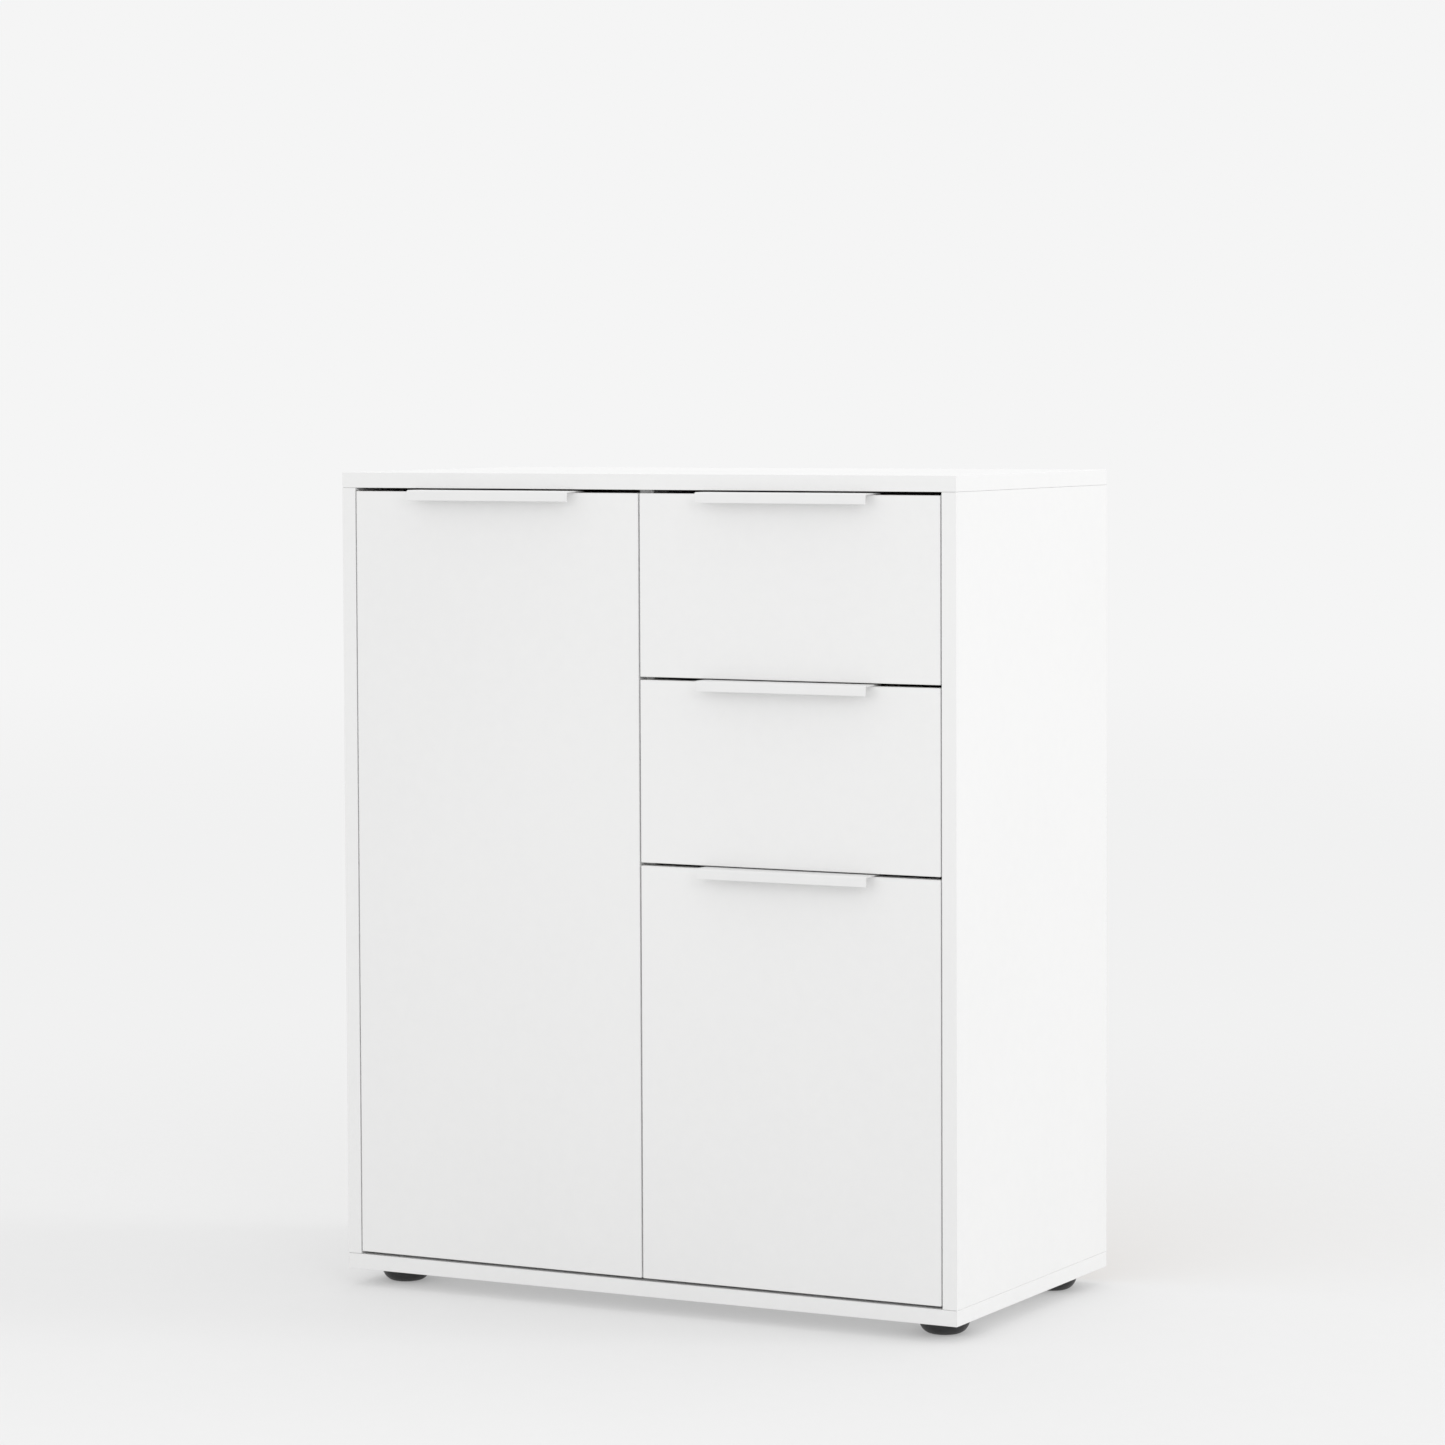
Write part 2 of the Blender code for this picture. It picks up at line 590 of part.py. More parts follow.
def make_slide(prefix, wall, direction, height, drawer_axis, cage_axis):
    """One slide. direction is 1 where the drawer lies at +X from the wall, -1 where it lies at -X."""
    members = {
        "cabinet_rail": (TOUCH, OUTER_REACH, OUTER_HALF_HEIGHT, SLIDE_SHEET, True, None),
        "drawer_rail": (INNER_START, SLIDE_SPACE - TOUCH, INNER_HALF_HEIGHT, SLIDE_SHEET, False,
                        drawer_axis),
    }
    for member, (near, far, half_height, sheet, outward, parent) in members.items():
        section = channel_section(wall, direction, near, far, half_height, sheet, outward)
        section = [(x, z + height) for x, z in section]
        outline_solid(f"{prefix}_{member}", section, SLIDE_FRONT, SLIDE_LENGTH, "Y", ZINC, parent)
    race = (OUTER_HALF_HEIGHT - SLIDE_SHEET + INNER_HALF_HEIGHT + CAGE_SHEET) / 2
    section = channel_section(wall, direction, CAGE_START, CAGE_REACH, race, CAGE_SHEET, True)
    section = [(x, z + height) for x, z in section]
    outline_solid(prefix + "_ball_cage", section, SLIDE_FRONT + DRAWER_TRAVEL / 2,
                  SLIDE_LENGTH - DRAWER_TRAVEL, "Y", ZINC, cage_axis)


def make_drawer(name, bottom):
    """A drawer: the front with its pull, a four-piece box behind it, and a pair of slides."""
    top = bottom + DRAWER_FRONT_HEIGHT
    centre = (MIDDLE_GAP + FRONT_WIDTH) / 2
    axis = joint_empty(name + "_slide_axis", (centre, FRONT, (bottom + top) / 2))
    cage_axis = joint_empty(name + "_cage_axis",
                            (centre, SLIDE_FRONT + DRAWER_TRAVEL / 2, (bottom + top) / 2))
    front = make_front(name + "_front", MIDDLE_GAP / 2, bottom, top, axis)
    make_pull(name + "_pull", MIDDLE_GAP / 2 + FRONT_WIDTH / 2, top, axis)

    low = bottom + BOX_LIFT
    high = low + BOX_HEIGHT
    rear = BOX_FRONT + BOX_LENGTH
    base = low + BOX_BASE_LIFT
    inner_left = BOX_LEFT + BOX_SIDE
    inner_right = BOX_RIGHT - BOX_SIDE
    left = box(name + "_left_side", (BOX_LEFT, BOX_FRONT, low), (inner_left, rear, high), WHITE_FOIL,
               axis)
    right = box(name + "_right_side", (inner_right, BOX_FRONT, low), (BOX_RIGHT, rear, high),
                WHITE_FOIL, axis)
    box(name + "_back", (inner_left + TOUCH, rear - BOX_SIDE, base + BOX_BASE + TOUCH),
        (inner_right - TOUCH, rear, high), WHITE_FOIL, axis)
    tongue = BOX_GROOVE - GROOVE_PLAY
    box(name + "_base", (inner_left - tongue, FRONTS_BACK - tongue, base),
        (inner_right + tongue, rear, base + BOX_BASE), HARDBOARD, axis)
    groove = cutter_box(name + "_base_groove",
                        (inner_left - BOX_GROOVE, FRONTS_BACK - BOX_GROOVE, base - GROOVE_PLAY),
                        (inner_right + BOX_GROOVE, rear + BOX_GROOVE, base + BOX_BASE + GROOVE_PLAY),
                        axis)
    for item in (front, left, right):
        combine(item, groove, "DIFFERENCE")

    rail_height = (low + high) / 2
    make_slide(name + "_left", BOARD / 2, 1, rail_height, axis, cage_axis)
    make_slide(name + "_right", INNER_HALF, -1, rail_height, axis, cage_axis)


make_carcass()
make_shelves()
make_feet()
make_door("left_door", -1, FRONT_BOTTOM, FRONT_TOP)
make_door("right_door", 1, FRONT_BOTTOM, LOWER_DOOR_TOP)
make_drawer("upper_drawer", DRAWER_1_BOTTOM)
make_drawer("lower_drawer", DRAWER_2_BOTTOM)
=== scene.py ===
# %% [markdown]
# # A tall white sideboard
# The cabinet is flat-pack furniture: boards of particle board wrapped in matt white foil, four folded
# metal pulls, concealed hinges, ball-bearing slides and four black glides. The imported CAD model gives
# every place and size. This lesson builds the visible skin of each piece round it, in the same frame.

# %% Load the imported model
import math

import bpy
import numpy as np
from mathutils import Matrix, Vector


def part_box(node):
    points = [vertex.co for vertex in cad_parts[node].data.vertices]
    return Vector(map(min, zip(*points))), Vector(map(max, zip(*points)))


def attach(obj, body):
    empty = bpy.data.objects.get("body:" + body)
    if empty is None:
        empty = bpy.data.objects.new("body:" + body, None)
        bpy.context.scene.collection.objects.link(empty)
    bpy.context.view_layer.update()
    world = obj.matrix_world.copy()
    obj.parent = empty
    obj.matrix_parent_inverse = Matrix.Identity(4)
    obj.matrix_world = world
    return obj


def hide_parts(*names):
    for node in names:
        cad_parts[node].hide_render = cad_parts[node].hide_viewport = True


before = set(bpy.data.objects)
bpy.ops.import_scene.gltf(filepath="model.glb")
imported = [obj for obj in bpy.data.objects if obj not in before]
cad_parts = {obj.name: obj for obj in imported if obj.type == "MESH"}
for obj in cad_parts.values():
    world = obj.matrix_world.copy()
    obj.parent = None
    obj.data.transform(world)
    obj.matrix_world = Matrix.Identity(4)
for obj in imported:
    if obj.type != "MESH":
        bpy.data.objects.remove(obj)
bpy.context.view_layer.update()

# %% [markdown]
# ## One skin for every shape
# A board, a pull, a screw and a ball can all be described as a stack of closed rings: a board's rings
# are rounded rectangles, a pull's are the section of its folded strip, a screw's are circles. Ready-made
# cubes and cylinders would need bevels afterwards, so the rings carry their roundings from the start.

# %% Rings of points become a closed skin
X, Y, Z = 0, 1, 2


def shell(rings):
    """Points and faces of a closed skin. rings[i, j] is point j of ring i: neighbours in a ring and in
    the next ring make a quad, and flat caps close the first and last rings. The sum of the triple
    products of its triangles is six times its volume; if that is negative, every face is turned over."""
    rings = np.asarray(rings, float)
    count, around = rings.shape[:2]
    points = rings.reshape(-1, 3)
    here = np.arange(around)
    after = (here + 1) % around
    row = np.arange(count - 1)[:, None] * around
    quads = np.stack([row + here, row + after, row + around + after, row + around + here], -1)
    quads = quads.reshape(-1, 4)
    caps = [here[::-1], (count - 1) * around + here]
    fans = [np.stack([np.full(around - 2, cap[0]), cap[1:-1], cap[2:]], -1) for cap in caps]
    triangles = np.vstack([quads[:, :3], quads[:, [0, 2, 3]], *fans])
    a, b, c = (points - points.mean(0))[triangles].transpose(1, 0, 2)
    step = 1 if np.sum(a * np.cross(b, c)) > 0 else -1
    faces = [list(face[::step]) for face in quads.tolist()]
    return points, faces + [cap[::step].tolist() for cap in caps]


def mesh_of(name, shells):
    """One mesh from several skins, each one's faces counted on from the points before it."""
    starts = np.cumsum([0] + [len(points) for points, _ in shells[:-1]])
    faces = [[int(start) + i for i in face] for start, (_, some) in zip(starts, shells) for face in some]
    mesh = bpy.data.meshes.new(name)
    mesh.from_pydata(np.concatenate([points for points, _ in shells]).tolist(), [], faces)
    return mesh


SHARP = math.radians(50)


def piece(name, shells, finish, body, replaces=()):
    """A finished piece: smooth where faces meet at less than SHARP, with normals weighted by face
    area, so that wide faces stay flat right up to their roundings."""
    mesh = mesh_of(name, shells)
    mesh.shade_smooth()
    mesh.set_sharp_from_angle(angle=SHARP)
    mesh.materials.append(finish.material)
    item = bpy.data.objects.new(name, mesh)
    bpy.context.scene.collection.objects.link(item)
    normals = item.modifiers.new("normals", "WEIGHTED_NORMAL")
    normals.keep_sharp = True
    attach(item, body)
    if replaces:
        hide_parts(*replaces)
    return item


sample = shell(np.random.default_rng(1).random((3, 6, 3)))
print("a ring of 6 points, three times over:", len(sample[1]), "faces")

# %% [markdown]
# ## Shader maths written as sums
# A finish on a real surface is a handful of small patterns added together: a tint that drifts, a fine
# emboss, a seam line. Wiring these by hand hides the idea, so a socket is wrapped in a small class and
# an ordinary Python expression adds the nodes.

# %% A socket that adds, and a finish that holds the nodes


class Value:
    """A number socket. Each operator adds one Math node and returns its result."""

    def __init__(self, finish, socket):
        self.finish = finish
        self.socket = socket

    def math(self, operation, first, second=None):
        values = {0: first} if second is None else {0: first, 1: second}
        return self.finish.node("ShaderNodeMath", {"operation": operation}, values)

    def __add__(self, other):
        return self.math("ADD", self, other)

    def __radd__(self, other):
        return self.math("ADD", other, self)

    def __sub__(self, other):
        return self.math("SUBTRACT", self, other)

    def __rsub__(self, other):
        return self.math("SUBTRACT", other, self)

    def __mul__(self, other):
        return self.math("MULTIPLY", self, other)

    def __rmul__(self, other):
        return self.math("MULTIPLY", other, self)

    def __gt__(self, other):
        return self.math("GREATER_THAN", self, other)

    def __lt__(self, other):
        return self.math("LESS_THAN", self, other)

    def size(self):
        return self.math("ABSOLUTE", self)

    def least(self, other):
        return self.math("MINIMUM", self, other)

    def between(self, start, end):
        """0 at start, 1 at end, a smooth step from one to the other."""
        limits = {"Value": self, "From Min": start, "From Max": end}
        return self.finish.node("ShaderNodeMapRange", {"interpolation_type": "SMOOTHSTEP"}, limits)


class Finish:
    """A material on Object coordinates. Its constants sit on the shader's own sockets."""

    def __init__(self, name, constants):
        self.material = bpy.data.materials.new(name)
        self.material.use_nodes = True
        self.tree = self.material.node_tree
        self.shader = self.tree.nodes["Principled BSDF"]
        for socket, value in constants.items():
            self.shader.inputs[socket].default_value = value
        self.place = self.node("ShaderNodeTexCoord", output="Object")

    def node(self, kind, settings=None, inputs=None, output=0):
        """Any node: its settings first, then the values or links of its sockets."""
        made = self.tree.nodes.new(kind)
        for key, value in (settings or {}).items():
            setattr(made, key, value)
        for key, value in (inputs or {}).items():
            self.feed(made.inputs[key], value)
        return Value(self, made.outputs[output])

    def feed(self, socket, value):
        if isinstance(value, Value):
            self.tree.links.new(value.socket, socket)
        else:
            socket.default_value = value

    def axes(self):
        """The x, y and z of the surface point, in metres."""
        return [self.node("ShaderNodeSeparateXYZ", None, {0: self.place}, axis) for axis in range(3)]

    def stretched(self, x, y, z):
        """Object coordinates times x, y and z: a noise of scale 1 then has that many lumps to a metre."""
        return self.node("ShaderNodeMapping", None, {"Vector": self.place, "Scale": (x, y, z)})

    def noise(self, scale, detail=2.0, roughness=0.5, vector=None):
        """A soft random field from 0 to 1, about 0.5, with scale lumps to a metre."""
        values = {"Vector": vector or self.place, "Scale": scale, "Detail": detail, "Roughness": roughness}
        return self.node("ShaderNodeTexNoise", None, values)

    def cells(self, scale, output="Distance"):
        """Cells, scale to a metre: the distance to the nearest cell's point, or the cell's own colour."""
        values = {"Vector": self.place, "Scale": scale}
        return self.node("ShaderNodeTexVoronoi", None, values, output)

    def tint(self, factor, first, second):
        """A colour mixed from two."""
        values = {0: factor, 6: first, 7: second}
        values = {k: (*v, 1.0) if isinstance(v, tuple) else v for k, v in values.items()}
        return self.node("ShaderNodeMix", {"data_type": "RGBA"}, values, 2)

    def coat(self, colour, roughness=None):
        self.feed(self.shader.inputs["Base Color"], colour)
        if roughness is not None:
            self.feed(self.shader.inputs["Roughness"], roughness)

    def relief(self, height, depth):
        """height, from 0 to 1, raises the surface by up to depth metres."""
        bump = self.node("ShaderNodeBump", None, {"Strength": 1.0, "Distance": depth, "Height": height})
        self.feed(self.shader.inputs["Normal"], bump)


print("one class for sums, one for finishes")

# %% [markdown]
# ## Matt white foil on particle board
# The boards are particle board with a printed paper foil pressed on. Up close the foil is not a flat
# white: it has a fine emboss about a millimetre across, a slow drift of tone, and a sheen that varies
# where it has been wiped. Visible edges carry a thin white band, whose glue joint is a hairline on the
# wide face. Edges that face the wall are left raw, so the chips show. Each board gets its own finish,
# because the hairline follows that board's own edges.

# %% The foil, its edge bands and its raw edges
FOIL = (0.842, 0.842, 0.839)
FOIL_SHADE = (0.826, 0.826, 0.824)
BAND_JOINT = 0.0009        # from the edge to the joint of the edge band
JOINT_WIDTH = 0.00016
JOINT_TINT = (0.60, 0.59, 0.57)
RAW_SKIN = 0.0002          # how deep below a raw edge its chips are painted
CHIPS = 420.0              # chips to a metre
EMBOSS = 1100.0            # dimples of the foil to a metre
FOIL_RELIEF = 0.00003


def chip_colour(finish):
    """Wood chips: cells of two sizes, each with its own brown, in a darker resin."""
    large = finish.cells(CHIPS, output="Color")
    pick = finish.node("ShaderNodeSeparateColor", None, {0: large})
    brown = finish.tint(pick, (0.30, 0.19, 0.10), (0.66, 0.50, 0.32))
    return finish.tint(finish.noise(1500.0, 3.0).between(0.35, 0.7), brown, (0.52, 0.39, 0.25))


def foil(name, low, high, bands=(), raw=()):
    """Foil for one board. bands and raw list edges as (axis, end), end 0 for low and 1 for high."""
    finish = Finish(name, {"IOR": 1.46})
    axes = finish.axes()
    drift = finish.noise(2.3, 3.0)
    mottle = finish.noise(60.0, 4.0, 0.6)
    emboss = finish.noise(EMBOSS, 3.0, 0.6)
    peel = finish.noise(240.0, 1.0)
    wiped = finish.noise(1.0, 4.0, 0.55, finish.stretched(9.0, 9.0, 2.0))
    colour = finish.tint((0.6 * drift + 0.4 * mottle).between(0.35, 0.7), FOIL, FOIL_SHADE)
    rough = 0.36 + 0.10 * wiped + 0.08 * emboss
    height = 0.6 * emboss + 0.4 * peel
    joint = None
    for axis, end in bands:
        place = low[axis] + BAND_JOINT if end == 0 else high[axis] - BAND_JOINT
        line = (axes[axis] - place).size()
        joint = line if joint is None else joint.least(line)
    if joint is not None:
        seam = 1.0 - joint.between(0.0, JOINT_WIDTH)
        colour = finish.tint(seam * 0.45, colour, JOINT_TINT)
        height = height - seam
    for axis, end in raw:
        edge = axes[axis] < low[axis] + RAW_SKIN if end == 0 else axes[axis] > high[axis] - RAW_SKIN
        colour = finish.tint(edge, colour, chip_colour(finish))
        rough = rough + edge * 0.45
        height = height + edge * finish.cells(CHIPS) * 6.0
    finish.coat(colour, rough)
    finish.relief(height, FOIL_RELIEF)
    return finish


print("foil reflects", FOIL[1], "of the light, its emboss is about", round(1000 / EMBOSS, 1), "mm across")

# %% [markdown]
# ## Boards
# A board is a rectangle with eased edges. Its rings are rounded rectangles stacked through its
# thickness: near each face they draw in along a quarter circle, which is the easing that a trimmer
# leaves on an edge band. A plain cube would meet itself in razor edges that catch no light.

# %% A board as a stack of rounded rectangles
EASING = 0.0006
CORNER = 0.0011


def board(low, high, thin):
    """Ring k is drawn in by EASING (1 - sin t) and stands EASING (1 - cos t) from a face, with t from 0
    to a quarter turn. A ring point is a corner's centre plus (CORNER - inset) times its direction."""
    low, high = np.array(low, float), np.array(high, float)
    wide, tall = [axis for axis in range(3) if axis != thin]
    turn = np.linspace(0, math.pi / 2, 4)
    inset = EASING * (1 - np.sin(turn))
    rise = EASING * (1 - np.cos(turn))
    inset = np.concatenate([inset, inset[::-1]])
    rise = np.concatenate([low[thin] + rise, high[thin] - rise[::-1]])
    quarter = np.repeat(np.arange(4), 4) * math.pi / 2
    angle = quarter + np.tile(np.linspace(0, math.pi / 2, 4), 4)
    side = np.sign(np.stack([np.cos(quarter + 0.7), np.sin(quarter + 0.7)], -1))
    half = (high - low)[[wide, tall]] / 2
    corner = (high + low)[[wide, tall]] / 2 + side * (half - CORNER)
    way = np.stack([np.cos(angle), np.sin(angle)], -1)
    flat = corner[None] + (CORNER - inset)[:, None, None] * way[None]
    rings = np.empty((len(inset), len(angle), 3))
    rings[..., [wide, tall]] = flat
    rings[..., thin] = rise[:, None]
    return shell(rings)


def block(low, high):
    """A plain box, for cutting: two rings of four corners."""
    (x0, y0, z0), (x1, y1, z1) = low, high
    ring = np.array([(x0, y0), (x1, y0), (x1, y1), (x0, y1)])
    return shell([np.column_stack([ring, np.full(4, z)]) for z in (z0, z1)])


def turned(profile, centre, axis=Z, way=1, steps=32):
    """A turned solid: ring k is a circle of radius profile[k, 0] at profile[k, 1] along the axis from
    centre, in the direction of way."""
    profile = np.asarray(profile, float)
    angle = np.arange(steps) * 2 * math.pi / steps
    rings = np.empty((len(profile), steps, 3))
    first, second = [a for a in range(3) if a != axis]
    rings[..., first] = profile[:, :1] * np.cos(angle)
    rings[..., second] = profile[:, :1] * np.sin(angle)
    rings[..., axis] = way * profile[:, 1:]
    return shell(rings + np.array(centre, float))


def carved(solid, cutters):
    """The solid with the cutters' space taken out by an exact Boolean, as points and faces."""
    made = []
    for shells in ([solid], cutters):
        item = bpy.data.objects.new("carving", mesh_of("carving", shells))
        bpy.context.scene.collection.objects.link(item)
        made.append(item)
    cut = made[0].modifiers.new("cut", "BOOLEAN")
    cut.operation, cut.solver, cut.object = "DIFFERENCE", "EXACT", made[1]
    bpy.context.view_layer.update()
    result = made[0].evaluated_get(bpy.context.evaluated_depsgraph_get()).to_mesh()
    points = np.empty(len(result.vertices) * 3, np.float32)
    result.vertices.foreach_get("co", points)
    faces = [list(face.vertices) for face in result.polygons]
    made[0].to_mesh_clear()
    for item in made:
        data = item.data
        bpy.data.objects.remove(item)
        bpy.data.meshes.remove(data)
    return points.reshape(-1, 3).astype(float), faces


def grown(node, by):
    """The node's box, larger on every side by the given play."""
    low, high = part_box(node)
    return tuple(v - by for v in low), tuple(v + by for v in high)


print("a board has", len(board((0, 0, 0), (0.5, 0.3, 0.018), Z)[1]), "faces")

# %% [markdown]
# ## The carcass
# Top and bottom panels run the full width and close the sides between them, so their joints show as
# fine lines at the corners; the uprights are drawn out by a fifth of a millimetre to close them. The
# thin back stands in a groove, which is cut into its four neighbours with the back's own box plus its
# play, so the two always fit. Rows of drilled holes, 32 mm apart, take the shelf pins. A Boolean cuts
# them from the same solid, because a painted dot would show no depth from the side.

# %% Carcass boards
PLAY = 0.0003
CLOSE_UP = 0.0002          # how far an upright is drawn up to the panels above and below
PIN_PITCH = 0.032
PIN_DEPTH = 0.008
PIN_DROP = 0.0037          # from a shelf's underside down to its pins' middle
PIN_INSET = 0.037          # from a shelf's front and rear edges to its pins
PIN_HOLE = [(0.0025, -PIN_DEPTH), (0.0025, 0.0), (0.0030, 0.0005), (0.0030, 0.0030)]
FRONT_EDGE, REAR_EDGE = (Y, 0), (Y, 1)
LEFT_EDGE, RIGHT_EDGE = (X, 0), (X, 1)

CARCASS = {
    "top_panel": (Z, [FRONT_EDGE, LEFT_EDGE, RIGHT_EDGE], [REAR_EDGE], True),
    "bottom_panel": (Z, [FRONT_EDGE, LEFT_EDGE, RIGHT_EDGE], [REAR_EDGE], True),
    "left_side_panel": (X, [FRONT_EDGE], [REAR_EDGE], True),
    "right_side_panel": (X, [FRONT_EDGE], [REAR_EDGE], True),
    "centre_partition": (X, [FRONT_EDGE], [], False),
    "fixed_shelf": (Z, [FRONT_EDGE], [REAR_EDGE], False),
    "left_lower_shelf": (Z, [FRONT_EDGE], [REAR_EDGE, LEFT_EDGE, RIGHT_EDGE], False),
    "left_upper_shelf": (Z, [FRONT_EDGE], [REAR_EDGE, LEFT_EDGE, RIGHT_EDGE], False),
    "right_shelf": (Z, [FRONT_EDGE], [REAR_EDGE, LEFT_EDGE, RIGHT_EDGE], False),
}


def pin_rows(*shelves):
    """For each shelf, the heights of five pin holes, the middle one under the shelf."""
    steps = np.arange(-2, 3) * PIN_PITCH
    return np.concatenate([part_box(shelf)[0][Z] - PIN_DROP + steps for shelf in shelves])


def pin_holes(face, way, heights):
    """Round cutters that enter an upright's face, two columns of them at the given heights."""
    low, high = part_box("right_shelf")
    return [turned(PIN_HOLE, (face, y, z), X, way, 20)
            for y in (low[Y] + PIN_INSET, high[Y] - PIN_INSET) for z in heights]


left_rows, right_rows = pin_rows("left_lower_shelf", "left_upper_shelf"), pin_rows("right_shelf")
PIN_FACES = {
    "left_side_panel": [(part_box("left_side_panel")[1][X], 1, left_rows)],
    "centre_partition": [(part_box("centre_partition")[0][X], -1, left_rows),
                         (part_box("centre_partition")[1][X], 1, right_rows)],
    "right_side_panel": [(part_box("right_side_panel")[0][X], -1, right_rows)],
}
for node, (thin, bands, raw, grooved) in CARCASS.items():
    low, high = (np.array(corner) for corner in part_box(node))
    if thin == X:
        low[Z] -= CLOSE_UP
        high[Z] += CLOSE_UP
    cutters = [block(*grown("back_panel", PLAY))] if grooved else []
    for face, way, heights in PIN_FACES.get(node, ()):
        cutters += pin_holes(face, way, heights)
    solid = board(low, high, thin)
    if cutters:
        solid = carved(solid, cutters)
    finish = foil(node + "_foil", low, high, bands, raw)
    piece(node + "_board", [solid], finish, "cabinet", [node])
print("carcass boards:", len(CARCASS))

# %% [markdown]
# ## Thin fibreboard
# The back and the drawer bases are 3 mm fibreboard. Only one side is lacquered white; the side that
# nobody sees is plain brown fibre. One finish does both, because a plane through the middle of the
# sheet tells the sides apart, and the CAD's flat sheets are already right.

# %% Fibreboard, white on one side
FIBRE = (0.44, 0.315, 0.20)
FIBRE_DARK = (0.32, 0.215, 0.125)
LACQUER = (0.80, 0.80, 0.79)
LACQUER_SHADE = (0.775, 0.773, 0.762)


def fibreboard(name, node, axis, white_end):
    """White lacquer on one face of the sheet, bare felted fibres on the rest."""
    low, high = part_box(node)
    middle = (low[axis] + high[axis]) / 2
    finish = Finish(name, {"IOR": 1.45})
    across = finish.axes()[axis]
    fibres = finish.noise(1.0, 4.0, 0.65, finish.stretched(900.0, 260.0, 320.0))
    strands = finish.noise(1.0, 3.0, 0.7, finish.stretched(95.0, 2200.0, 700.0))
    clouds = finish.noise(5.0, 2.0)
    felt = 0.50 * fibres + 0.38 * strands + 0.12 * clouds
    bare = finish.tint(felt.between(0.36, 0.64), FIBRE_DARK, FIBRE)
    white = finish.tint(fibres.between(0.3, 0.8), LACQUER, LACQUER_SHADE)
    lacquer = across < middle if white_end == 0 else across > middle
    finish.coat(finish.tint(lacquer, bare, white), 0.78 - lacquer * 0.32 + 0.1 * fibres)
    finish.relief(fibres, 0.00006)
    return finish


def dress(node, finish):
    """Give a CAD node a finish in place of its plain one."""
    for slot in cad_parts[node].material_slots:
        slot.material = finish.material


dress("back_panel", fibreboard("back_fibreboard", "back_panel", Y, 0))
low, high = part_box("back_panel")
print("back sheet:", [round(v * 1000, 1) for v in high - low], "mm")

# %% [markdown]
# ## Doors and drawer fronts
# Each front is an 18 mm board banded on all four edges. The doors have two round bores in the back for
# the hinge cups. The drawer fronts have a groove that takes the drawer's base.

# %% Fronts
EDGES = [(X, 0), (X, 1), (Z, 0), (Z, 1)]
CUP_CENTRE_IN = 0.0225     # from the door's hinge edge to the cups' centres
CUP_CENTRE_END = 0.100     # from its top and bottom edges
BORE_RADIUS = 0.0178
BORE_DEPTH = 0.0122
DOORS = {"left_door": -1, "right_door": 1}
DRAWERS = ("upper_drawer", "lower_drawer")


def cup_places(door):
    """The hinge cups' centres on the door's back face."""
    low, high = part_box(door)
    x = low[X] + CUP_CENTRE_IN if DOORS[door] < 0 else high[X] - CUP_CENTRE_IN
    return [(x, high[Y], z) for z in (low[Z] + CUP_CENTRE_END, high[Z] - CUP_CENTRE_END)]


for door in DOORS:
    low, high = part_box(door)
    bores = [turned([(BORE_RADIUS, -BORE_DEPTH), (BORE_RADIUS, 0.01)], place, Y, steps=40)
             for place in cup_places(door)]
    solid = carved(board(low, high, Y), bores)
    piece(door + "_board", [solid], foil(door + "_foil", low, high, EDGES), door, [door])
for drawer in DRAWERS:
    node = drawer + "_front"
    low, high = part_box(node)
    solid = carved(board(low, high, Y), [block(*grown(drawer + "_base", PLAY))])
    piece(node + "_board", [solid], foil(node + "_foil", low, high, EDGES), drawer, [node])
print("fronts:", len(DOORS) + len(DRAWERS))

# %% [markdown]
# ## Drawer boxes
# The box is 12 mm foil-wrapped board, with the base in a groove. The foil wraps the top edge, so only
# the ends at the back are raw.

# %% Drawer boxes
for drawer in DRAWERS:
    groove = block(*grown(drawer + "_base", PLAY))
    for part, thin in (("left_side", X), ("right_side", X), ("back", Y)):
        node = f"{drawer}_{part}"
        low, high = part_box(node)
        raw = [REAR_EDGE] if thin == X else [LEFT_EDGE, RIGHT_EDGE]
        solid = board(low, high, thin)
        if thin == X:
            solid = carved(solid, [groove])
        finish = foil(node + "_foil", low, high, (), raw)
        piece(node + "_board", [solid], finish, drawer, [node])
    dress(drawer + "_base", fibreboard(drawer + "_base_fibreboard", drawer + "_base", Z, 1))
print("drawer boxes:", len(DRAWERS))

# %% [markdown]
# ## Folded strips
# The pulls and the slide rails are sheet metal folded along lines. A fold is never sharp: the sheet
# runs round a small radius. The section is therefore a centreline with arcs at its folds, thickened to
# both sides, and carried along the strip. The thickness tapers in the last fraction of a millimetre,
# which eases the cut edges as a deburring tool does.

# %% A folded strip carried along an axis


def fold_path(corners, radius, steps=6):
    """Points of a centreline that runs from corner to corner, each fold an arc of the given radius: the
    arc's centre is on the inner side, radius away from both legs, and the legs meet it at tangents."""
    corners = np.asarray(corners, float)
    points = [corners[:1]]
    for before, fold, beyond in zip(corners[:-2], corners[1:-1], corners[2:]):
        arrive = (fold - before) / np.linalg.norm(fold - before)
        leave = (beyond - fold) / np.linalg.norm(beyond - fold)
        centre = fold - arrive * radius + leave * radius
        turn = np.linspace(0, math.pi / 2, steps)[:, None]
        points.append(centre + radius * (np.sin(turn) * arrive - np.cos(turn) * leave))
    points.append(corners[-1:])
    return np.concatenate(points)


def eased(distance, width):
    """1 away from an edge, falling to 0.55 at the edge along a quarter circle of the given width."""
    near = np.clip(distance / width, 0, 1)
    return 0.55 + 0.45 * np.sqrt(1 - (1 - near) ** 2)


